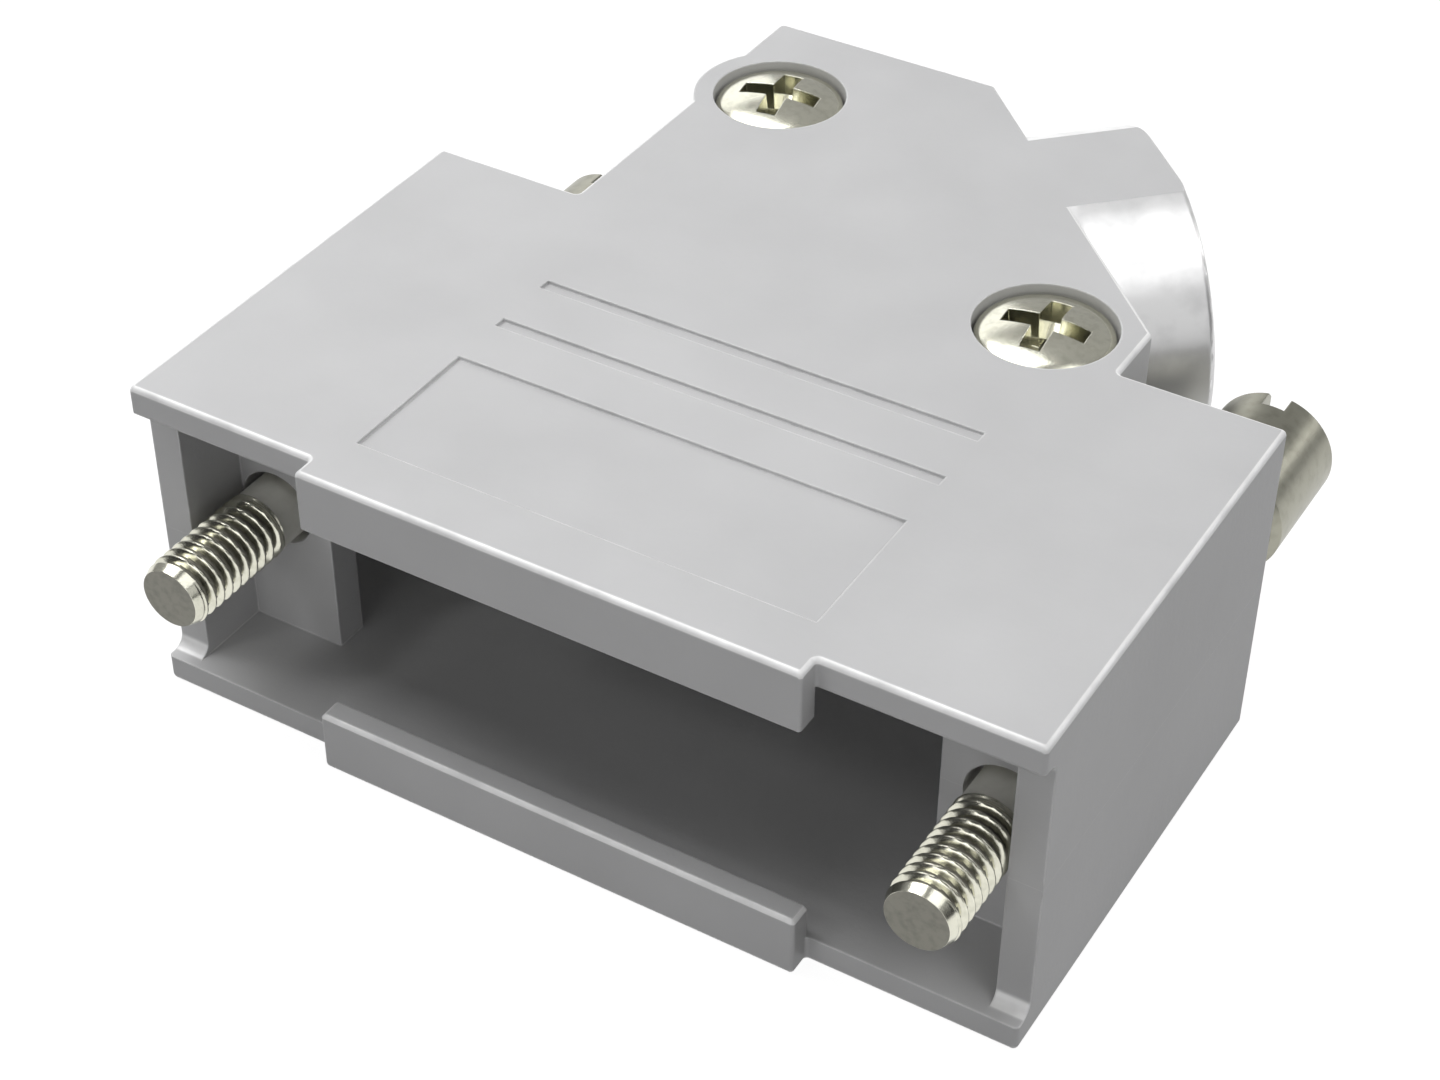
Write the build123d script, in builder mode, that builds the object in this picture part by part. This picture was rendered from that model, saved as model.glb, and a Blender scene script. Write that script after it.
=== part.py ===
"""Die-cast 15-way connector hood with a 45 degree cable exit and two captive jackscrews.

Frame: millimetres, +Z up. The origin is the middle of the connector opening, in the plane where the
flange's front face lies, half way up the hood. +Y runs back into the hood, +X to the right seen from
above with the opening towards the reader.
"""
import os
from math import cos, radians, sin

from build123d import *

os.makedirs("parts", exist_ok=True)

# Hood body, both shells together
jack_spacing = 33.32  # between the two jackscrews, set by the connector
side_reach = 3.14  # from a jackscrew's axis to the hood's side
hood_height = 15.1
box_depth = 21.0
rear_width = 25.4
exit_rise = 3.18  # from the back of the box to where the slanted exit wall starts
exit_wall_length = 20.25
plate = 1.25  # top and bottom walls
wall = 1.4  # upright walls
corner_radius = 0.2
rim_radius = 0.25

# Connector seat at the front
flange_thickness = 0.95
lip_width = 21.9
lip_reach = 1.0
lip_gap = 9.4
lip_chamfer = 0.15
lip_corner_radius = 0.15
seat_radius = 0.6  # cast radius at the foot of each side wall
partition_face = 4.25
partition_thickness = 1.5
bay_inset = 2.66  # from a jackscrew's axis to the open edge of its partition

# Cable exit
exit_angle = 45.0
outlet_radius = 8.05
outlet_length = 5.35
outlet_bore = 5.5
outlet_rim = 0.3
outlet_share = 0.37951  # of the exit wall's length, from its rear corner to the outlet's axis
outlet_root = 1.0  # how far the tube runs back into the exit wall

# Shell screws and the bosses that take them
rear_screw_inset = (3.17, 5.7)  # from the rear section's left and back walls
side_screw_inset = (3.88, 1.45)  # from the rear section's right wall and the back of the box
shell_screw_radius = 1.5
shell_screw_length = 10.0
shell_screw_clearance = 0.1
thread_clearance = 0.05
screw_seat_depth = 1.55  # from the upper face down to the seats
screw_head_radius = 2.9
screw_head_side = 1.2
screw_head_dome = 0.55
head_seat_clearance = 0.12
cross_span = 3.7
cross_width = 0.95
cross_depth = 1.4
cross_taper = 8.0
screw_tip_chamfer = 0.3
rear_boss_radius = 3.9
side_boss_radius = 3.3
boss_floor = 2.0  # metal left under each tapped hole

# Jackscrews: M3 thread, full size out to the flange's rear face, and a slightly thinner shank
jack_radius = 1.5
jack_shank_radius = 1.42
jack_tip = 2.6  # how far the tips stand out of the flange plane
jack_tip_drop = 0.2  # the lead-in at the tip, radially and along the screw
jack_tip_lead = 0.5
jack_head_radius = 2.65
jack_head_length = 6.2
jack_head_chamfer = 0.35
jack_slot_width = 1.0
jack_slot_depth = 1.2
jack_travel = 2.5
jack_stop_gap = 0.2
jack_hole_clearance = 0.08
partition_hole_clearance = 0.3

# Retaining clips, one in a groove of each jackscrew, just in front of the box's rear wall
clip_radius = 2.25
clip_thickness = 0.5
clip_seat_gap = 0.15
groove_radius = 0.95
groove_play = 0.05
clip_bore_clearance = 0.05
clip_mouth = 1.5
clip_notch_radius = 0.42
clip_notch_angle = 32.0
clip_room = 0.25  # air around the clip in the side wall's relief

# Register ribs that line the two shells up along the side walls
rib_width = 0.5
rib_height = 0.7
rib_start = 8.0
rib_length = 7.0
rib_clearance = 0.08

# Label recess and the two grooves behind it, in the upper face
panel_width = 20.0
panel_front = 1.7
panel_rear = 8.4
panel_depth = 0.15
groove_width = 0.6
groove_places = (11.2, 14.4)

# Cable clamp: two saddles drawn together by two small screws
saddle_end_room = 6.25  # exit wall left over beside the two ends of the saddles
saddle_depth = 4.0
saddle_web = 1.6  # from the cable's bore to each clamp screw's axis
saddle_gap = 0.6
saddle_shoulder = 3.6
saddle_crown = 5.3
saddle_clearance = 0.2
clamp_rib_thickness = 1.2
clamp_rib_overhang = 0.5
clamp_screw_inset = 1.4  # from each end of the saddles
clamp_screw_radius = 1.0
clamp_screw_length = 8.0
clamp_screw_clearance = 0.1
clamp_head_radius = 1.6
clamp_head_height = 1.3
clamp_slot_width = 0.5
clamp_slot_depth = 0.6

# Sizes that follow from the ones above
jack_x = jack_spacing / 2
half_width = jack_x + side_reach
half_height = hood_height / 2
half_rear = rear_width / 2
inner_height = half_height - plate
inner_half_width = half_width - wall
bay_half_width = jack_x - bay_inset
exit_direction = (cos(radians(exit_angle)), sin(radians(exit_angle)), 0)
exit_side_corner = (half_rear, box_depth + exit_rise)
exit_rear_corner = (
    exit_side_corner[0] - exit_wall_length * exit_direction[1],
    exit_side_corner[1] + exit_wall_length * exit_direction[0],
)
outlet_shift = outlet_share * exit_wall_length
outlet_axis_at = (
    exit_rear_corner[0] + outlet_shift * exit_direction[1],
    exit_rear_corner[1] - outlet_shift * exit_direction[0],
)
rear_screw_at = (rear_screw_inset[0] - half_rear, exit_rear_corner[1] - rear_screw_inset[1])
side_screw_at = (half_rear - side_screw_inset[0], box_depth + side_screw_inset[1])
clip_rear = box_depth - wall - clip_seat_gap
clip_front = clip_rear - clip_thickness
clip_pocket_front = clip_front - jack_travel - clip_room
jack_head_front = box_depth + jack_travel + jack_stop_gap
jack_head_rear = jack_head_front + jack_head_length
head_seat = half_height - screw_seat_depth
jack_hole_radius = jack_shank_radius + jack_hole_clearance
partition_hole_radius = jack_shank_radius + partition_hole_clearance
saddle_width = exit_wall_length - saddle_end_room
clamp_screw_offset = saddle_width / 2 - clamp_screw_inset
saddle_bore = clamp_screw_offset - saddle_web
clamp_rib_width = saddle_width + 2 * clamp_rib_overhang
clamp_front = wall + saddle_clearance
clamp_rib_front = clamp_front + saddle_depth + saddle_clearance
rib_x = half_width - wall / 2
rib_middle = rib_start + rib_length / 2
tolerance = 0.001

# Profiles for the cable exit are drawn looking back along the cable, with +Y of the sketch upwards
exit_plane = Plane(
    origin=(*outlet_axis_at, 0),
    x_dir=(-exit_direction[1], exit_direction[0], 0),
    z_dir=exit_direction,
)
# Looking down on the cable clamp, with the sketch's X across the cable
clamp_middle = exit_plane.offset(-clamp_front - saddle_depth / 2).origin
clamp_plane = Plane(origin=clamp_middle, x_dir=exit_plane.x_dir, z_dir=(0, 0, 1))


def hood_outline(front):
    """Corners of the hood seen from above, with its front edge at the given Y."""
    return [
        (-half_width, front),
        (half_width, front),
        (half_width, box_depth),
        (half_rear, box_depth),
        exit_side_corner,
        exit_rear_corner,
        (-half_rear, exit_rear_corner[1]),
        (-half_rear, box_depth),
        (-half_width, box_depth),
    ]


def same(first, second):
    """Whether two lengths agree within the modelling tolerance."""
    return abs(first - second) < tolerance


def on_lip(edge):
    """Whether an upright edge is a corner of the lip, or the corner where it meets the plate."""
    at = edge.center()
    return same(abs(at.X), lip_width / 2) and (same(at.Y, -lip_reach) or same(at.Y, 0))


def on_box(edge):
    """Whether an upright edge is a corner of the hood's own outline."""
    at = edge.center()
    return any(same(at.X, x) and same(at.Y, y) for x, y in hood_outline(0))


def on_foot(edge):
    """Whether an edge along X is where a side wall's front end meets the plate."""
    at = edge.center()
    return same(at.Y, flange_thickness) and same(abs(at.Z), inner_height)


def on_lip_front(edge):
    """Whether an edge along X is the lip's inner front edge."""
    at = edge.center()
    return same(at.Y, -lip_reach) and same(abs(at.Z), lip_gap / 2)


def shell(upwards):
    """One half of the casting, above the parting plane if upwards is 1 and below it if it is -1."""
    rise = Align.MIN if upwards > 0 else Align.MAX
    bosses = ((rear_screw_at, rear_boss_radius), (side_screw_at, side_boss_radius))
    with BuildPart() as casting:
        # Outer block with the centre lip, its upright corners rounded
        with BuildSketch():
            with BuildLine():
                Polyline(*hood_outline(0), close=True)
            make_face()
            Rectangle(lip_width, lip_reach, align=(Align.CENTER, Align.MAX))
        extrude(amount=upwards * half_height)
        fillet(casting.edges().filter_by(Axis.Z).filter_by(on_lip), lip_corner_radius)
        fillet(casting.edges().filter_by(Axis.Z).filter_by(on_box), corner_radius)

        # Hollow inside, open at the front, with the side walls set back by the flange's thickness
        with BuildSketch():
            with BuildLine():
                Polyline(*hood_outline(-wall), close=True)
            make_face()
            offset(amount=-wall, kind=Kind.INTERSECTION)
            Rectangle(2 * half_width, flange_thickness, align=(Align.CENTER, Align.MIN))
            Rectangle(2 * half_width, lip_reach, align=(Align.CENTER, Align.MAX))
            Rectangle(lip_width, lip_reach, align=(Align.CENTER, Align.MAX), mode=Mode.SUBTRACT)
        extrude(amount=upwards * inner_height, mode=Mode.SUBTRACT)
        with BuildSketch():
            Rectangle(lip_width, lip_reach, align=(Align.CENTER, Align.MAX))
        extrude(amount=upwards * lip_gap / 2, mode=Mode.SUBTRACT)

        # Rear boss, which stands out through the side wall, and the outlet tube
        with BuildSketch():
            with Locations(rear_screw_at):
                Circle(rear_boss_radius)
        extrude(amount=upwards * half_height)
        with BuildSketch(exit_plane.offset(-outlet_root)):
            Circle(outlet_radius)
            Rectangle(2 * outlet_radius, half_height, align=(Align.CENTER, rise), mode=Mode.INTERSECT)
        extrude(amount=outlet_root + outlet_length)

        # Soft rim round the box and the lip
        plate_face = casting.faces().sort_by(Axis.Z)[-1 if upwards > 0 else 0]
        box_edges = plate_face.outer_wire().edges().filter_by_position(Axis.Y, -lip_reach, box_depth)
        fillet(box_edges, rim_radius)

        # Cast radius at the foot of each side wall, and a chamfer along the lip's inner front edge
        foot = casting.edges().filter_by(Axis.X).filter_by(on_foot)
        fillet(foot, seat_radius)
        lip_front = casting.edges().filter_by(Axis.X).filter_by(on_lip_front)
        chamfer(lip_front, lip_chamfer)

        # Partitions that the jackscrews pass, round room for the clips, and the jackscrew holes
        for side in (-1, 1):
            with BuildSketch():
                with Locations((side * bay_half_width, partition_face)):
                    Rectangle(
                        inner_half_width - bay_half_width,
                        partition_thickness,
                        align=(Align.MIN if side > 0 else Align.MAX, Align.MIN),
                    )
            extrude(amount=upwards * inner_height)
            along = Plane(origin=(side * jack_x, 0, 0), x_dir=(1, 0, 0), z_dir=(0, 1, 0))
            with BuildSketch(along.offset(clip_pocket_front)):
                Circle(clip_radius + clip_room)
            extrude(amount=box_depth - wall - clip_pocket_front, mode=Mode.SUBTRACT)
            with BuildSketch(along.offset(partition_face)):
                Circle(partition_hole_radius)
            extrude(amount=partition_thickness, mode=Mode.SUBTRACT)
            with BuildSketch(along.offset(box_depth - wall)):
                Circle(jack_hole_radius)
            extrude(amount=wall, mode=Mode.SUBTRACT)

        # Bosses for the shell screws
        for place, radius in bosses:
            with BuildSketch():
                with Locations(place):
                    Circle(radius)
            extrude(amount=upwards * inner_height)

        # Rib behind the cable clamp, and the bore for the cable
        with BuildSketch(exit_plane.offset(-clamp_rib_front)):
            Rectangle(clamp_rib_width, inner_height, align=(Align.CENTER, rise))
        extrude(amount=-clamp_rib_thickness)
        with BuildSketch(exit_plane.offset(outlet_length)):
            Circle(outlet_bore)
        extrude(amount=-outlet_length - clamp_rib_front - 2 * clamp_rib_thickness, mode=Mode.SUBTRACT)
        mouth = casting.edges().group_by(Axis((0, 0, 0), exit_direction))[-1]
        fillet(mouth.filter_by(GeomType.CIRCLE), outlet_rim)
    return casting


upper_casting = shell(1)
with BuildPart() as upper_shell:
    add(upper_casting.part)
    # Clearance holes and sunk seats for the two shell screws
    for place in (rear_screw_at, side_screw_at):
        with BuildSketch():
            with Locations(place):
                Circle(shell_screw_radius + shell_screw_clearance)
        extrude(amount=half_height, mode=Mode.SUBTRACT)
        with BuildSketch(Plane.XY.offset(head_seat)):
            with Locations(place):
                Circle(screw_head_radius + head_seat_clearance)
        extrude(amount=screw_seat_depth, mode=Mode.SUBTRACT)
    # Label recess and two grooves in the top face
    with BuildSketch(Plane.XY.offset(half_height)):
        with Locations((0, panel_front)):
            Rectangle(panel_width, panel_rear - panel_front, align=(Align.CENTER, Align.MIN))
        with Locations(*[(0, place) for place in groove_places]):
            Rectangle(panel_width, groove_width)
    extrude(amount=-panel_depth, mode=Mode.SUBTRACT)
    # Grooves for the register ribs
    with BuildSketch():
        with Locations((-rib_x, rib_middle), (rib_x, rib_middle)):
            Rectangle(rib_width + 2 * rib_clearance, rib_length + 2 * rib_clearance)
    extrude(amount=rib_height + rib_clearance, mode=Mode.SUBTRACT)
upper_shell.part.label = "upper_shell"
export_step(upper_shell.part, "parts/upper_shell.step")


lower_casting = shell(-1)
with BuildPart() as lower_shell:
    add(lower_casting.part)
    # Tapped holes, closed at the bottom
    with BuildSketch():
        with Locations(rear_screw_at, side_screw_at):
            Circle(shell_screw_radius + thread_clearance)
    extrude(amount=boss_floor - half_height, mode=Mode.SUBTRACT)
    # Register ribs standing on the side walls
    with BuildSketch():
        with Locations((-rib_x, rib_middle), (rib_x, rib_middle)):
            Rectangle(rib_width, rib_length)
    extrude(amount=rib_height)
lower_shell.part.label = "lower_shell"
export_step(lower_shell.part, "parts/lower_shell.step")


def shell_screw(place):
    """Pan-head cross-recess screw, upright, its head sunk into the upper shell."""
    tip = head_seat - shell_screw_length
    side_top = head_seat + screw_head_side
    dome_top = side_top + screw_head_dome
    dome_radius = (screw_head_radius**2 + screw_head_dome**2) / (2 * screw_head_dome)
    with BuildPart() as screw:
        with BuildSketch(Plane(origin=(*place, 0), x_dir=(1, 0, 0), z_dir=(0, -1, 0))):
            with BuildLine():
                Polyline(
                    (0, dome_top),
                    (0, tip),
                    (shell_screw_radius - screw_tip_chamfer, tip),
                    (shell_screw_radius, tip + screw_tip_chamfer),
                    (shell_screw_radius, head_seat),
                    (screw_head_radius, head_seat),
                    (screw_head_radius, side_top),
                )
                RadiusArc((screw_head_radius, side_top), (0, dome_top), -dome_radius)
            make_face()
        revolve(axis=Axis((*place, 0), (0, 0, 1)))
        with BuildSketch(Plane.XY.offset(dome_top)):
            with Locations(place):
                Rectangle(cross_span, cross_width)
                Rectangle(cross_width, cross_span)
        extrude(amount=-cross_depth, taper=cross_taper, mode=Mode.SUBTRACT)
    return screw


shell_screw_rear = shell_screw(rear_screw_at)
shell_screw_rear.part.label = "shell_screw_rear"
export_step(shell_screw_rear.part, "parts/shell_screw_rear.step")

shell_screw_side = shell_screw(side_screw_at)
shell_screw_side.part.label = "shell_screw_side"
export_step(shell_screw_side.part, "parts/shell_screw_side.step")


def jackscrew(side):
    """One turned screw along Y: threaded tip, plain shank with a clip groove, and slotted head."""
    with BuildPart() as screw:
        with BuildSketch(Plane(origin=(side * jack_x, 0, 0))):
            with BuildLine():
                Polyline(
                    (0, -jack_tip),
                    (jack_radius - jack_tip_drop, -jack_tip),
                    (jack_radius, -jack_tip + jack_tip_lead),
                    (jack_radius, flange_thickness),
                    (jack_shank_radius, flange_thickness),
                    (jack_shank_radius, clip_front - groove_play),
                    (groove_radius, clip_front - groove_play),
                    (groove_radius, clip_rear + groove_play),
                    (jack_shank_radius, clip_rear + groove_play),
                    (jack_shank_radius, jack_head_front),
                    (jack_head_radius - jack_head_chamfer, jack_head_front),
                    (jack_head_radius, jack_head_front + jack_head_chamfer),
                    (jack_head_radius, jack_head_rear - jack_head_chamfer),
                    (jack_head_radius - jack_head_chamfer, jack_head_rear),
                    (0, jack_head_rear),
                    close=True,
                )
            make_face()
        revolve(axis=Axis((side * jack_x, 0, 0), (0, 1, 0)))
        # Screwdriver slot across the head's rear face, upright at rest
        head_end = Plane(origin=(side * jack_x, jack_head_rear, 0), x_dir=(1, 0, 0), z_dir=(0, 1, 0))
        with BuildSketch(head_end):
            Rectangle(jack_slot_width, 2 * jack_head_radius)
        extrude(amount=-jack_slot_depth, mode=Mode.SUBTRACT)
    return screw


jackscrew_left = jackscrew(-1)
jackscrew_left.part.label = "jackscrew_left"
export_step(jackscrew_left.part, "parts/jackscrew_left.step")

jackscrew_right = jackscrew(1)
jackscrew_right.part.label = "jackscrew_right"
export_step(jackscrew_right.part, "parts/jackscrew_right.step")


def retaining_clip(side):
    """Spring-steel E-clip pushed up into a jackscrew's groove, its mouth downwards."""
    bore = groove_radius + clip_bore_clearance
    with BuildPart() as clip:
        with BuildSketch(Plane(origin=(side * jack_x, clip_front, 0), x_dir=(1, 0, 0), z_dir=(0, -1, 0))):
            Circle(clip_radius)
            Circle(bore, mode=Mode.SUBTRACT)
            Rectangle(clip_mouth, 2 * clip_radius, align=(Align.CENTER, Align.MAX), mode=Mode.SUBTRACT)
            for angle in (clip_notch_angle, 180 - clip_notch_angle):
                with Locations((bore * cos(radians(angle)), bore * sin(radians(angle)))):
                    Circle(clip_notch_radius, mode=Mode.SUBTRACT)
        extrude(amount=-clip_thickness)
    return clip


retaining_clip_left = retaining_clip(-1)
retaining_clip_left.part.label = "retaining_clip_left"
export_step(retaining_clip_left.part, "parts/retaining_clip_left.step")

retaining_clip_right = retaining_clip(1)
retaining_clip_right.part.label = "retaining_clip_right"
export_step(retaining_clip_right.part, "parts/retaining_clip_right.step")


with BuildPart() as clamp_saddle_lower:
    with BuildSketch(exit_plane.offset(-clamp_front)):
        with Locations((0, -saddle_gap / 2)):
            Rectangle(saddle_width, inner_height - saddle_gap / 2, align=(Align.CENTER, Align.MAX))
        Circle(saddle_bore, mode=Mode.SUBTRACT)
    extrude(amount=-saddle_depth)
    with BuildSketch(clamp_plane):
        with Locations((-clamp_screw_offset, 0), (clamp_screw_offset, 0)):
            Circle(clamp_screw_radius + thread_clearance)
    extrude(amount=-inner_height, mode=Mode.SUBTRACT)
clamp_saddle_lower.part.label = "clamp_saddle_lower"
export_step(clamp_saddle_lower.part, "parts/clamp_saddle_lower.step")

with BuildPart() as clamp_saddle_upper:
    with BuildSketch(exit_plane.offset(-clamp_front)):
        Circle(saddle_crown)
        with Locations((0, saddle_gap / 2)):
            Rectangle(saddle_width, saddle_crown, align=(Align.CENTER, Align.MIN), mode=Mode.INTERSECT)
            Rectangle(saddle_width, saddle_shoulder - saddle_gap / 2, align=(Align.CENTER, Align.MIN))
        Circle(saddle_bore, mode=Mode.SUBTRACT)
    extrude(amount=-saddle_depth)
    with BuildSketch(clamp_plane):
        with Locations((-clamp_screw_offset, 0), (clamp_screw_offset, 0)):
            Circle(clamp_screw_radius + clamp_screw_clearance)
    extrude(amount=inner_height, mode=Mode.SUBTRACT)
clamp_saddle_upper.part.label = "clamp_saddle_upper"
export_step(clamp_saddle_upper.part, "parts/clamp_saddle_upper.step")


def clamp_screw(side):
    """Small slotted screw that draws the saddles together, on one side of the cable."""
    with BuildPart() as screw:
        with BuildSketch(clamp_plane.offset(saddle_shoulder)):
            with Locations((side * clamp_screw_offset, 0)):
                Circle(clamp_screw_radius)
        extrude(amount=-clamp_screw_length)
        with BuildSketch(clamp_plane.offset(saddle_shoulder)):
            with Locations((side * clamp_screw_offset, 0)):
                Circle(clamp_head_radius)
        extrude(amount=clamp_head_height)
        with BuildSketch(clamp_plane.offset(saddle_shoulder + clamp_head_height)):
            with Locations((side * clamp_screw_offset, 0)):
                Rectangle(2 * clamp_head_radius, clamp_slot_width)
        extrude(amount=-clamp_slot_depth, mode=Mode.SUBTRACT)
    return screw


clamp_screw_rear = clamp_screw(1)
clamp_screw_rear.part.label = "clamp_screw_rear"
export_step(clamp_screw_rear.part, "parts/clamp_screw_rear.step")

clamp_screw_side = clamp_screw(-1)
clamp_screw_side.part.label = "clamp_screw_side"
export_step(clamp_screw_side.part, "parts/clamp_screw_side.step")
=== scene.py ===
import math

import bmesh
import bpy
from mathutils import Matrix, Vector


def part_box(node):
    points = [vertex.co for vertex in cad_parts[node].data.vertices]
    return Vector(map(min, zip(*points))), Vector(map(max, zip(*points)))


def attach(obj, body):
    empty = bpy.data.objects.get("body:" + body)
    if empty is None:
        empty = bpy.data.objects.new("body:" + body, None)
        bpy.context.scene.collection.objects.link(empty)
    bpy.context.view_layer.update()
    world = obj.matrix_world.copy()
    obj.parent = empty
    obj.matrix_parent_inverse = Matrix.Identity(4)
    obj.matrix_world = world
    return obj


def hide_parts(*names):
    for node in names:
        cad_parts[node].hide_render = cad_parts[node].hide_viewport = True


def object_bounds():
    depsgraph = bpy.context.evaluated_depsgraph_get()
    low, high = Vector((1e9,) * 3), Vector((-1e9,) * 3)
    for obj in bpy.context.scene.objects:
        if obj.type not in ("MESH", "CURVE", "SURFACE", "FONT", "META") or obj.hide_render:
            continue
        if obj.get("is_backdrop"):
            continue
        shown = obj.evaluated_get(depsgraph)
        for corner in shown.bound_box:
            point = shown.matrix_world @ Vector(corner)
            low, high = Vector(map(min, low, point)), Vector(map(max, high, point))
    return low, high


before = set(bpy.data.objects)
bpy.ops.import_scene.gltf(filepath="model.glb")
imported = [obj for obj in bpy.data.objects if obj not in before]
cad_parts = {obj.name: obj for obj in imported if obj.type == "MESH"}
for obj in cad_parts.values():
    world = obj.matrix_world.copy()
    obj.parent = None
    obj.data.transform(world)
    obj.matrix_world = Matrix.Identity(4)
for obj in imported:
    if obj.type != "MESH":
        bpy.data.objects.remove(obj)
cad_low, cad_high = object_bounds()

# The camera stands in front of the connector opening and to its right, and looks down on the
# hood at about 39 degrees. Its lens gives the mild perspective of a close product shot.
camera_at = Vector((0.04531, -0.06414, 0.07118))
camera_turn = math.radians(30.8124)
camera_height = math.radians(38.7896)
camera_roll = math.radians(-0.423)
camera_lens = 70.048

camera_back = Vector((
    math.sin(camera_turn) * math.cos(camera_height),
    -math.cos(camera_turn) * math.cos(camera_height),
    math.sin(camera_height),
))
camera_right = (-camera_back).cross(Vector((0, 0, 1))).normalized()
camera_up = camera_back.cross(camera_right)
rolled_right = camera_right * math.cos(camera_roll) - camera_up * math.sin(camera_roll)
rolled_up = camera_right * math.sin(camera_roll) + camera_up * math.cos(camera_roll)
camera_axes = Matrix((rolled_right, rolled_up, camera_back)).transposed().to_4x4()
camera_data = bpy.data.cameras.new("shot")
camera_data.lens = camera_lens
camera_data.sensor_width = 36.0
camera_data.clip_start = 0.005
camera = bpy.data.objects.new("shot", camera_data)
camera.matrix_world = Matrix.Translation(camera_at) @ camera_axes
bpy.context.scene.collection.objects.link(camera)
bpy.context.scene.camera = camera


# Lower shell: a zinc die casting, tumbled and plated to a satin silver-grey, with a paler colour
# on the rounded edges that is partly wear and partly painted highlight, and a painted highlight on
# the cable outlet's round side. It carries the bosses, the partitions and the ribs, and everything
# else is laid into it.
exit_wall = 0.0262
box_rear = 0.0215
outlet_direction = (0.7071, 0.7071, 0.0)
outlet_fade = 0.0003
outlet_painted_highlight = 0.35
outlet_metallic = 0.75
outlet_grain = 0.2
face_wear = 0.5
worn_polish = 0.12
parting_share = 0.1
patch_least = 0.6

# Each pair is where a mask starts to show and where it is full. The first is how far two
# normals agree, the next three are how upright a normal is, and the last is a noise level.
edge_agreement = (0.985, 0.9)
off_upright = (0.08, 0.3)
off_level = (0.995, 0.96)
outlet_off_level = (0.98, 0.95)
patch_noise = (0.3, 0.55)


def put_node(tree, kind, **settings):
    """A shader node, with its inputs and settings filled in by name."""
    node = tree.nodes.new(kind)
    for key, value in settings.items():
        if key in node.inputs:
            node.inputs[key].default_value = value
        else:
            setattr(node, key, value)
    return node


def feed(tree, value, node, into):
    """Links another node's output to an input, or sets the input to a number or a colour."""
    if isinstance(value, bpy.types.NodeSocket):
        tree.links.new(value, node.inputs[into])
    else:
        node.inputs[into].default_value = value


def reckon(tree, operation, first, second=0.0):
    """A step of arithmetic on outputs and numbers."""
    step = put_node(tree, "ShaderNodeMath", operation=operation)
    feed(tree, first, step, 0)
    feed(tree, second, step, 1)
    return step.outputs["Value"]


def spread(tree, value, from_low, from_high, to_low=0.0, to_high=1.0):
    """Turns one range of values into another, and holds it level past both ends."""
    scale = put_node(tree, "ShaderNodeMapRange")
    feed(tree, value, scale, "Value")
    feed(tree, from_low, scale, "From Min")
    feed(tree, from_high, scale, "From Max")
    feed(tree, to_low, scale, "To Min")
    feed(tree, to_high, scale, "To Max")
    return scale.outputs["Result"]


def where(tree, kind, part=None):
    """A point's place ("Object"), the way it faces ("Normal"), or a way in the room ("Generated")."""
    place = put_node(tree, "ShaderNodeTexCoord").outputs[kind]
    if part is None:
        return place
    parts = put_node(tree, "ShaderNodeSeparateXYZ")
    feed(tree, place, parts, "Vector")
    return parts.outputs[part]


def along(tree, vector, direction):
    """How far a vector reaches along a direction."""
    reach = put_node(tree, "ShaderNodeVectorMath", operation="DOT_PRODUCT")
    feed(tree, vector, reach, 0)
    feed(tree, direction, reach, 1)
    return reach.outputs["Value"]


def noise(tree, scale, detail, roughness=0.5):
    """A soft random pattern that stays with the piece; a larger scale makes it finer."""
    pattern = put_node(tree, "ShaderNodeTexNoise", Scale=scale, Detail=detail, Roughness=roughness)
    feed(tree, where(tree, "Object"), pattern, "Vector")
    return pattern.outputs["Fac"]


def ramp(tree, value, low, high, from_low=0.3, from_high=0.7):
    """Goes from one colour to another as the value rises."""
    colours = put_node(tree, "ShaderNodeValToRGB")
    ends = colours.color_ramp.elements
    ends[0].position = from_low
    ends[0].color = (*low, 1)
    ends[1].position = from_high
    ends[1].color = (*high, 1)
    feed(tree, value, colours, "Fac")
    return colours.outputs["Color"]


def round_edges(tree, radius, parting):
    """A mask that is white on edges, save along the parting line, and the normal that rounds them."""
    rounded = put_node(tree, "ShaderNodeBevel", Radius=radius, samples=4)
    if parting:
        off_parting = reckon(tree, "ABSOLUTE", where(tree, "Object", "Z"))
        clear = spread(tree, off_parting, parting, parting * 2, radius * parting_share, radius)
        feed(tree, clear, rounded, "Radius")
    flat = put_node(tree, "ShaderNodeNewGeometry")
    agreement = along(tree, rounded.outputs["Normal"], flat.outputs["Normal"])
    return spread(tree, agreement, *edge_agreement), rounded.outputs["Normal"]


def slopes(tree):
    """White on faces that slope, which are the rounded edges of a casting with square sides."""
    slope = reckon(tree, "ABSOLUTE", where(tree, "Normal", "Z"))
    return reckon(tree, "MULTIPLY", spread(tree, slope, *off_upright), spread(tree, slope, *off_level))


def outlet_side(tree):
    """White on the outlet's round side: past the exit wall, behind the box, and not level."""
    out_along = along(tree, where(tree, "Object"), outlet_direction)
    past_wall = spread(tree, out_along, exit_wall, exit_wall + outlet_fade)
    behind_box = spread(tree, where(tree, "Object", "Y"), box_rear, box_rear + outlet_fade)
    not_level = spread(tree, where(tree, "Normal", "Z"), *outlet_off_level)
    return reckon(tree, "MULTIPLY", reckon(tree, "MULTIPLY", past_wall, behind_box), not_level)


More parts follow.
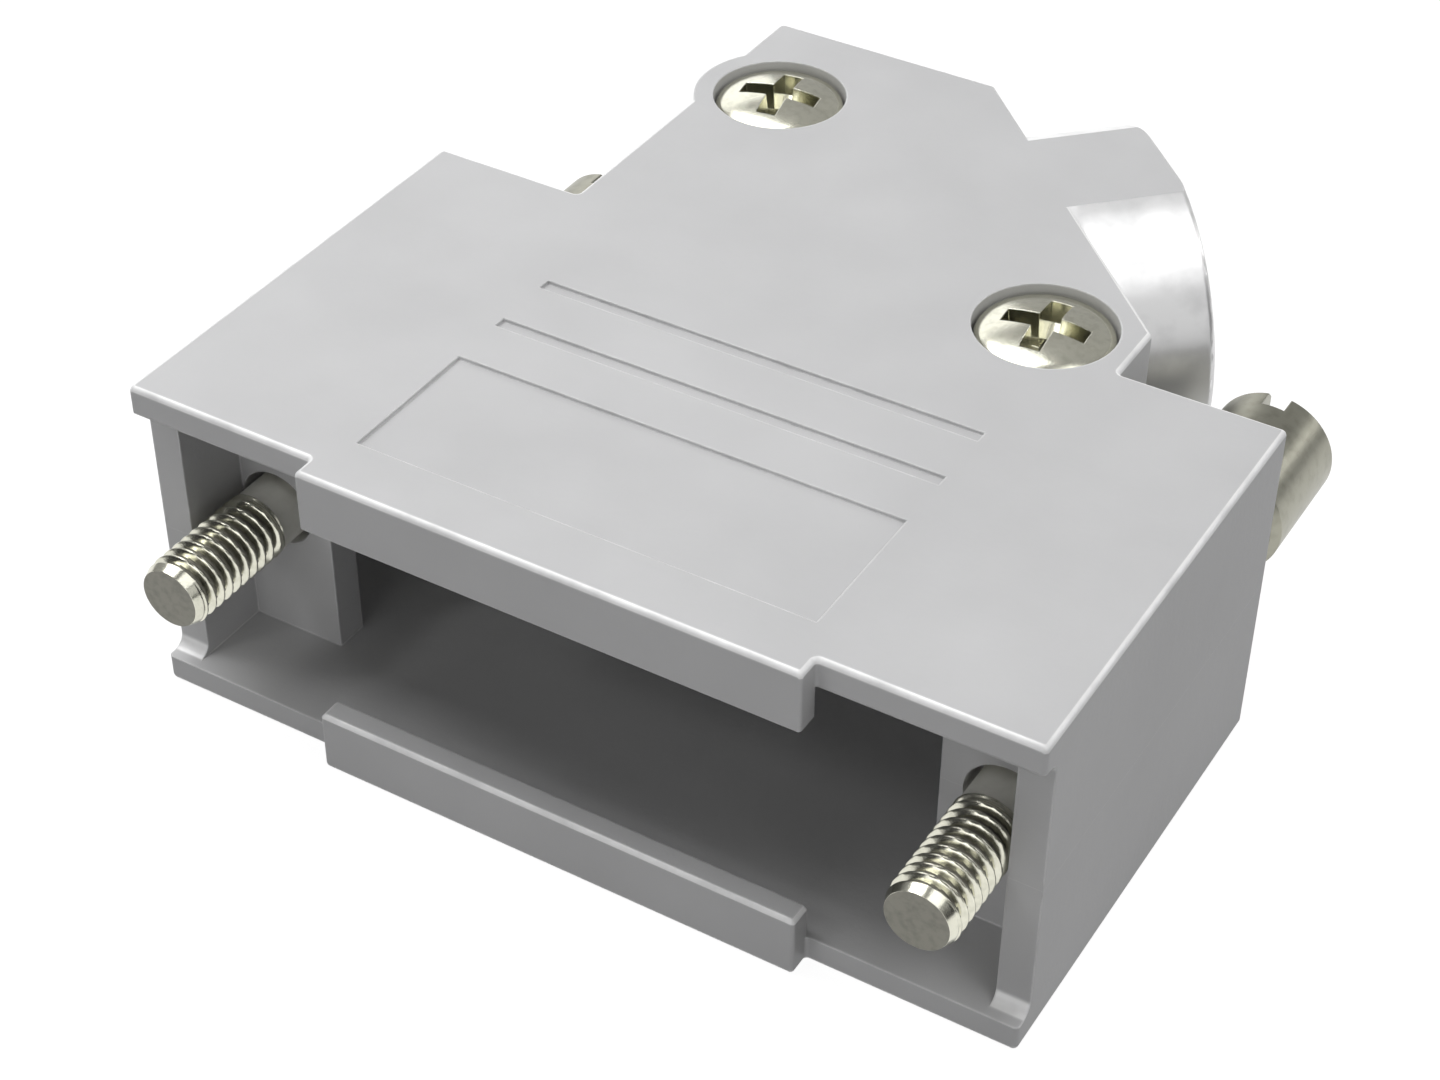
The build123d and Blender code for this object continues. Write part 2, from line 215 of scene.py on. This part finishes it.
def metal(name, dark, light, worn_and_highlight, rough, metallic, blotch, grain, grain_depth, edge,
          ior=1.5, parting=0.0, shell=False):
    """A metal finish: blotchy colour, uneven gloss, a fine grain, and a paler worn colour on edges
    that is partly wear and partly painted highlight.

    A shell also gets that paler colour where it slopes, as painted highlight and wear, and on the
    outlet's round side it is smoother and carries a painted highlight.
    """
    material = bpy.data.materials.new(name)
    material.use_nodes = True
    tree = material.node_tree
    shader = tree.nodes["Principled BSDF"]
    feed(tree, metallic, shader, "Metallic")
    feed(tree, ior, shader, "IOR")
    edges, rounded = round_edges(tree, edge, parting)
    # On edges, and on a shell's sloping faces, the worn colour is partly wear and partly a painted
    # highlight; other metals also carry some of it all over as plain tone.
    rubbed_and_highlight = reckon(tree, "MAXIMUM", edges, slopes(tree) if shell else face_wear)
    patches = spread(tree, noise(tree, blotch * 4, detail=4.0), *patch_noise, patch_least)
    wear_and_highlight = reckon(tree, "MULTIPLY", rubbed_and_highlight, patches)
    bumpiness = 1.0
    if shell:
        # On the outlet's round side the paler colour is a painted highlight; it is also more metallic and
        # smoother there.
        outlet = outlet_side(tree)
        wear_and_highlight = reckon(tree, "MAXIMUM", wear_and_highlight, reckon(tree, "MULTIPLY", outlet, outlet_painted_highlight))
        feed(tree, spread(tree, outlet, 0.0, 1.0, metallic, outlet_metallic), shader, "Metallic")
        bumpiness = spread(tree, outlet, 0.0, 1.0, 1.0, outlet_grain)
    # Inputs 6 and 7 of this node are the two colours, and output 2 is their mixture.
    colour = put_node(tree, "ShaderNodeMix", data_type="RGBA", blend_type="MIX")
    feed(tree, wear_and_highlight, colour, 0)
    feed(tree, ramp(tree, noise(tree, blotch, detail=3.0), dark, light), colour, 6)
    feed(tree, (*worn_and_highlight, 1), colour, 7)
    feed(tree, colour.outputs[2], shader, "Base Color")
    gloss = spread(tree, noise(tree, blotch * 2, detail=5.0, roughness=0.6), 0.0, 1.0, *rough)
    polish = reckon(tree, "MULTIPLY", wear_and_highlight, worn_polish)
    feed(tree, reckon(tree, "SUBTRACT", gloss, polish), shader, "Roughness")
    bump = put_node(tree, "ShaderNodeBump", Distance=grain_depth)
    feed(tree, bumpiness, bump, "Strength")
    feed(tree, noise(tree, grain, detail=3.0, roughness=0.6), bump, "Height")
    feed(tree, rounded, bump, "Normal")
    feed(tree, bump.outputs["Normal"], shader, "Normal")
    return material


satin_casting = metal(
    "satin_casting", dark=(0.57, 0.57, 0.575), light=(0.615, 0.615, 0.62), worn_and_highlight=(0.97, 0.97, 0.97),
    rough=(0.36, 0.44), metallic=0.1, blotch=140, grain=3200, grain_depth=0.000012, edge=0.00013,
    ior=1.1, parting=0.0003, shell=True)
dress = [("lower_shell", satin_casting)]


# Cable clamp: two cast saddles that grip the cable just inside the outlet, drawn together by a
# slotted steel screw at each side. The castings are left as they come from the die.
raw_casting = metal(
    "raw_casting", dark=(0.38, 0.38, 0.385), light=(0.48, 0.48, 0.485), worn_and_highlight=(0.62, 0.62, 0.62),
    rough=(0.45, 0.62), metallic=0.7, blotch=400, grain=5000, grain_depth=0.00002, edge=0.00015)
plated_steel = metal(
    "plated_steel", dark=(0.52, 0.52, 0.5), light=(0.6, 0.6, 0.57), worn_and_highlight=(0.74, 0.74, 0.7),
    rough=(0.25, 0.36), metallic=1.0, blotch=500, grain=9000, grain_depth=0.000004, edge=0.0001)
dress += [
    ("clamp_saddle_lower", raw_casting),
    ("clamp_saddle_upper", raw_casting),
    ("clamp_screw_rear", plated_steel),
    ("clamp_screw_side", plated_steel),
]


# Retaining clips: stamped spring-steel E-clips, each snapped into a groove of its jackscrew just
# in front of the box's rear wall, where they keep the screw from being pulled out of the hood.
spring_steel = metal(
    "spring_steel", dark=(0.34, 0.33, 0.28), light=(0.46, 0.45, 0.38), worn_and_highlight=(0.66, 0.65, 0.56),
    rough=(0.28, 0.42), metallic=1.0, blotch=600, grain=8000, grain_depth=0.000005, edge=0.0001)
dress += [("retaining_clip_left", spring_steel), ("retaining_clip_right", spring_steel)]


# Jackscrews: turned steel with a rolled M3 thread on the front end, nickel plated, with a slotted
# head behind the box. The threaded tip screws into the mating connector. The crests have the plain
# nickel colour, the shank is satin and painted lighter, the head painted darker as shade, and the thread's
# grooves carry painted shade, with the end face as dark.
screw_spacing = 0.03332
thread_radius = 0.0015
thread_root = 0.00119
# Faces closer to the axis than this are painted dark, as shade in the thread's grooves.
groove_shade_radius = 0.00126
thread_pitch = 0.00052
thread_crest = 0.14
thread_flank = 0.35
thread_end = 0.0029
screw_tip = -0.0026
tip_drop = 0.0002
tip_lead = 0.0005
plain_lead = 0.75
shank_radius = 0.00142
clip_groove = (0.0189, 0.0195)
clip_groove_radius = 0.00095
screw_head_front = 0.0237
screw_head_rear = 0.0299
screw_head_radius = 0.00265
screw_head_chamfer = 0.00035
screw_slot_width = 0.001
screw_slot_depth = 0.0012
slot_overrun = 0.001
slot_reach = 0.004
screw_crease = 38
hair = 0.00001


def thread_height(turn):
    """How far up its flank the thread stands at this fraction of a turn: 0 root, 1 crest."""
    off_crest = abs((turn + 0.5) % 1.0 - 0.5) - thread_crest / 2
    return max(0.0, min(1.0, 1 - off_crest / thread_flank))


def skin(name, rows):
    """A closed surface from rings of points, each ring as long as the next."""
    form = bmesh.new()
    rings = [[form.verts.new(point) for point in row] for row in rows]
    count = len(rings[0])
    for near, far in zip(rings, rings[1:]):
        for i in range(count):
            j = (i + 1) % count
            form.faces.new((near[i], near[j], far[j], far[i]))
    form.faces.new(list(reversed(rings[0])))
    form.faces.new(rings[-1])
    bmesh.ops.recalc_face_normals(form, faces=form.faces)
    mesh = bpy.data.meshes.new(name)
    form.to_mesh(mesh)
    form.free()
    piece = bpy.data.objects.new(name, mesh)
    bpy.context.scene.collection.objects.link(piece)
    return piece


def shade(piece, angle):
    """Smooth faces that meet at less than the angle, and keep the sharper edges crisp."""
    mesh = piece.data
    mesh.polygons.foreach_set("use_smooth", [True] * len(mesh.polygons))
    mesh.set_sharp_from_angle(angle=math.radians(angle))


def turned_ring(x, y, r, around):
    """A circle of points about the axis of the screw at x, this far along it."""
    return [(x + r * math.cos(math.tau * i / around), y, r * math.sin(math.tau * i / around))
            for i in range(around)]


def thread_ring(x, y, around):
    """A ring of points this far along the thread, sunk in where its groove comes round."""
    lead = min(1.0, (y - screw_tip) / tip_lead)
    fade = min(1.0, (thread_end - y) / thread_pitch) * max(0.0, (lead - plain_lead) / (1 - plain_lead))
    outside = thread_radius - tip_drop * (1 - lead)
    row = []
    for i in range(around):
        turn = i / around
        groove = (thread_radius - thread_root) * (1 - thread_height(y / thread_pitch + turn)) * fade
        r = outside - groove
        row.append((x + r * math.cos(math.tau * turn), y, r * math.sin(math.tau * turn)))
    return row


def jackscrew_rows(x, around=80, per_pitch=18):
    """Rings along the screw: the thread's own turns first, then the plain lengths."""
    rings = int((thread_end - screw_tip) / thread_pitch * per_pitch)
    threaded = [screw_tip + k * thread_pitch / per_pitch for k in range(rings)]
    turned = [
        (thread_end, shank_radius),
        (clip_groove[0], shank_radius),
        (clip_groove[0], clip_groove_radius),
        (clip_groove[1], clip_groove_radius),
        (clip_groove[1], shank_radius),
        (screw_head_front, shank_radius),
        (screw_head_front, screw_head_radius - screw_head_chamfer),
        (screw_head_front + screw_head_chamfer, screw_head_radius),
        (screw_head_rear - screw_head_chamfer, screw_head_radius),
        (screw_head_rear, screw_head_radius - screw_head_chamfer),
    ]
    return [thread_ring(x, y, around) for y in threaded] + [turned_ring(x, y, r, around) for y, r in turned]


def slot_cutter(x):
    """A block as wide as the slot, across the whole head and out past its rear face."""
    left, right = x - screw_slot_width / 2, x + screw_slot_width / 2
    floor, mouth = screw_head_rear - screw_slot_depth, screw_head_rear + slot_overrun
    return skin("slot_cutter", [
        [(left, floor, z), (right, floor, z), (right, mouth, z), (left, mouth, z)]
        for z in (-slot_reach, slot_reach)])


def cut(piece, cutter):
    """Takes the cutter's shape out of the piece for good."""
    trim = piece.modifiers.new("slot", "BOOLEAN")
    trim.operation = "DIFFERENCE"
    trim.solver = "EXACT"
    trim.object = cutter
    reading = bpy.context.evaluated_depsgraph_get()
    result = bpy.data.meshes.new_from_object(piece.evaluated_get(reading))
    piece.modifiers.clear()
    old = piece.data
    piece.data = result
    result.name = old.name
    bpy.data.meshes.remove(old)
    bpy.data.objects.remove(cutter)


nickel = metal(
    "nickel", dark=(0.5, 0.495, 0.4), light=(0.6, 0.59, 0.475), worn_and_highlight=(0.88, 0.87, 0.76),
    rough=(0.19, 0.29), metallic=1.0, blotch=700, grain=9000, grain_depth=0.000003, edge=0.00006)
# A satin copy of the nickel, painted much lighter: the lighter colour is painted light on the shank, which
# sits in shade.
satin_nickel_painted_light = metal(
    "satin_nickel_painted_light", dark=(0.74, 0.73, 0.65), light=(0.84, 0.83, 0.75), worn_and_highlight=(0.9, 0.89, 0.82),
    rough=(0.42, 0.55), metallic=0.2, blotch=700, grain=7000, grain_depth=0.000005, edge=0.00005)
# A rougher copy of the nickel, painted darker: the darker colour is painted shade on the head.
nickel_painted_shade = metal(
    "nickel_painted_shade", dark=(0.2, 0.198, 0.16), light=(0.27, 0.267, 0.217), worn_and_highlight=(0.46, 0.45, 0.38),
    rough=(0.34, 0.46), metallic=1.0, blotch=500, grain=8000, grain_depth=0.000004, edge=0.00008)
# Painted shade for the thread's grooves, also used on the screw's darker end face.
groove_shade_dark_end = metal(
    "groove_shade_dark_end", dark=(0.13, 0.13, 0.11), light=(0.15, 0.147, 0.125), worn_and_highlight=(0.34, 0.33, 0.28),
    rough=(0.46, 0.54), metallic=0.6, blotch=900, grain=6000, grain_depth=0.000006, edge=0.00005)
screw_finishes_and_shades = [nickel, satin_nickel_painted_light, groove_shade_dark_end, nickel_painted_shade]


def screw_finish_and_shade(centre, x):
    """The material of the face with this centre, on the screw whose axis is at x: the plain nickel, or a
    copy with painted light or painted shade.
    """
    if centre.y > screw_head_front - hair:
        return nickel_painted_shade
    if centre.y > thread_end:
        return satin_nickel_painted_light
    # The end face and the faces in the thread's grooves get the painted shade.
    if centre.y < screw_tip + hair or math.hypot(centre.x - x, centre.z) < groove_shade_radius:
        return groove_shade_dark_end
    return nickel


for side, at in (("left", -screw_spacing / 2), ("right", screw_spacing / 2)):
    screw = skin("slotted_jackscrew_" + side, jackscrew_rows(at))
    cut(screw, slot_cutter(at))
    shade(screw, screw_crease)
    screw.data.materials.clear()
    for finish in screw_finishes_and_shades:
        screw.data.materials.append(finish)
    for face in screw.data.polygons:
        face.material_index = screw_finishes_and_shades.index(screw_finish_and_shade(face.center, at))
    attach(screw, "screw_" + side)
    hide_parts("jackscrew_" + side)


# Upper shell: the other half of the die casting, with a shallow label recess and two grooves on
# its face. It closes over the lower one, and only a hairline shows between the two.
dress.append(("upper_shell", satin_casting))

# Every piece that is shown as its own solid gets its finish here.
for node, material in dress:
    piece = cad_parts[node]
    piece.data.materials.clear()
    piece.data.materials.append(material)


# Shell screws: M3 pan heads with a cross recess, nickel plated, one by the rear left corner and
# one by the cable exit. They pass through the upper shell into the lower shell's bosses.
pan_radius = 0.0029
pan_side_top = 0.0072
pan_top = 0.00775
pan_seat = 0.006
pan_edge = 0.0003
pan_edge_turn = 12
pan_edge_drop = 0.8
pan_underside = 0.0001
pan_shank = 0.0015
pan_length = 0.01
pan_tip = 0.0011
pan_tip_lead = 0.0004
pan_crease = 25
cross_reach = 0.00185
cross_half_width = 0.000475
cross_depth = 0.0016
cross_lean = math.radians(6)
cross_side_lean = 0.7
cross_end_lean = 0.3
cross_overrun = 0.0003

# Each pair is a depth below the top of the head, and the share of their reach that the arms
# have at it.
cross_levels = ((cross_depth, 0.6), (cross_depth * 0.72, 0.94), (-cross_overrun, 1.0))


def pan_profile(edge_steps=7, dome_steps=14):
    """Heights and radii up the screw, from its tip to the middle of the dome."""
    tip = pan_seat - pan_length
    rise = pan_top - pan_side_top
    dome = (pan_radius ** 2 + rise ** 2) / (2 * rise)
    shoulder = pan_radius - pan_edge
    points = [
        (tip, pan_tip),
        (tip + pan_tip_lead, pan_shank),
        (pan_seat, pan_shank),
        (pan_seat, pan_radius - pan_underside),
        (pan_seat + pan_underside, pan_radius),
    ]
    for k in range(edge_steps):
        angle = math.radians(pan_edge_turn * k)
        r = shoulder + pan_edge * math.cos(angle)
        drop = dome - math.sqrt(dome ** 2 - r ** 2)
        points.append((pan_top - drop - pan_edge * (1 - math.sin(angle)) * pan_edge_drop, r))
    for k in range(1, dome_steps):
        r = shoulder * (1 - k / dome_steps)
        points.append((pan_top - dome + math.sqrt(dome ** 2 - r ** 2), r))
    return points


def pan_rows(middle, around=96):
    """Rings up the screw, about its upright axis."""
    return [
        [(middle.x + r * math.cos(math.tau * i / around), middle.y + r * math.sin(math.tau * i / around), z)
         for i in range(around)]
        for z, r in pan_profile()]


def cross_cutter(middle, turn):
    """A tapered cross, wide at the head's face, with arms that rise from a narrow floor."""
    rows = []
    for depth, reach_share in cross_levels:
        lean = math.tan(cross_lean) * depth
        half = cross_half_width - lean * cross_side_lean
        reach = cross_reach * reach_share - lean * cross_end_lean
        row = []
        for k in range(4):
            angle = turn + k * math.pi / 2
            for u, v in ((half, -half), (reach, -half), (reach, half)):
                row.append((
                    middle.x + u * math.cos(angle) - v * math.sin(angle),
                    middle.y + u * math.sin(angle) + v * math.cos(angle),
                    pan_top - depth))
        rows.append(row)
    return skin("cross_cutter", rows)


for node, turn in (("shell_screw_rear", math.radians(9)), ("shell_screw_side", math.radians(4))):
    low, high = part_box(node)
    middle = (low + high) / 2
    head = skin("cross_" + node, pan_rows(middle))
    cut(head, cross_cutter(middle, turn))
    shade(head, pan_crease)
    head.data.materials.clear()
    head.data.materials.append(nickel)
    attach(head, "hood")
    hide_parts(node)


# Floor: a plain white paper sweep that the hood lies on, level with its underside. It takes the
# hood's soft shadow, and the bright metal shows its white.
floor_level = cad_low[2]
floor_half = 1.5
floor_colour = (0.18, 0.18, 0.18, 1)
floor_white = 0.93
sweep = bpy.data.meshes.new("sweep")
sweep.from_pydata(
    [(-floor_half, -floor_half, floor_level), (floor_half, -floor_half, floor_level),
     (floor_half, floor_half, floor_level), (-floor_half, floor_half, floor_level)],
    [], [(0, 1, 2, 3)])
floor = bpy.data.objects.new("sweep", sweep)
bpy.context.scene.collection.objects.link(floor)
paper = bpy.data.materials.new("paper")
paper.use_nodes = True
tree = paper.node_tree
tree.nodes.clear()
rays = put_node(tree, "ShaderNodeLightPath").outputs
straight = reckon(tree, "MAXIMUM", rays["Is Camera Ray"], rays["Is Glossy Ray"])
seen = reckon(tree, "MAXIMUM", straight, rays["Is Transmission Ray"])
glow = put_node(tree, "ShaderNodeEmission")
feed(tree, reckon(tree, "MULTIPLY", seen, floor_white), glow, "Strength")
lit = put_node(tree, "ShaderNodeBsdfDiffuse", Color=floor_colour)
both = put_node(tree, "ShaderNodeAddShader")
feed(tree, lit.outputs["BSDF"], both, 0)
feed(tree, glow.outputs["Emission"], both, 1)
surface = put_node(tree, "ShaderNodeOutputMaterial")
feed(tree, both.outputs["Shader"], surface, "Surface")
sweep.materials.append(paper)
floor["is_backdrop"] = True


# Light: two large softboxes overhead, weaker ones behind, in front and on the right, two small
# ones that pick out the edges, and a room that is pale behind the hood and dark in front of it.
lamp_aim = Vector((0, 0.018, 0))
lamp_distance = 0.5
room_pale_side = (-0.35, 0.75, 0.56)
room_dark = (0.04, 0.04, 0.041)
room_pale = (0.42, 0.42, 0.42)
room_pale_from = 0.8


def softbox(name, towards, size, watts):
    """A square lamp that stands in this direction from the hood and faces it."""
    away = Vector(towards).normalized()
    data = bpy.data.lights.new(name, "AREA")
    data.shape = "SQUARE"
    data.size = size
    data.energy = watts
    lamp = bpy.data.objects.new(name, data)
    lamp.location = lamp_aim + away * lamp_distance
    lamp.rotation_euler = away.to_track_quat("Z", "Y").to_euler()
    bpy.context.scene.collection.objects.link(lamp)


softbox("overhead_left", (-0.42, 0.05, 0.9), 0.36, 1.42)
softbox("overhead_right", (0.5, 0.0, 0.86), 0.36, 0.62)
softbox("behind", (-0.7, 0.62, 0.36), 0.3, 0.3)
softbox("front", (0.02, -0.99, 0.1), 0.3, 0.54)
softbox("side_right", (0.86, -0.36, 0.36), 0.27, 0.16)
softbox("edge_right", (0.63, 0.67, 0.40), 0.07, 0.16)
softbox("edge_front", (-0.40, -0.63, 0.67), 0.07, 0.14)
world = bpy.data.worlds.new("room")
world.use_nodes = True
bpy.context.scene.world = world
tree = world.node_tree
facing = along(tree, where(tree, "Generated"), room_pale_side)
sky = tree.nodes["Background"]
feed(tree, ramp(tree, facing, room_dark, room_pale, 0.0, room_pale_from), sky, "Color")
feed(tree, 1.0, sky, "Strength")

bpy.context.scene.view_settings.view_transform = "Standard"

low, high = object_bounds()
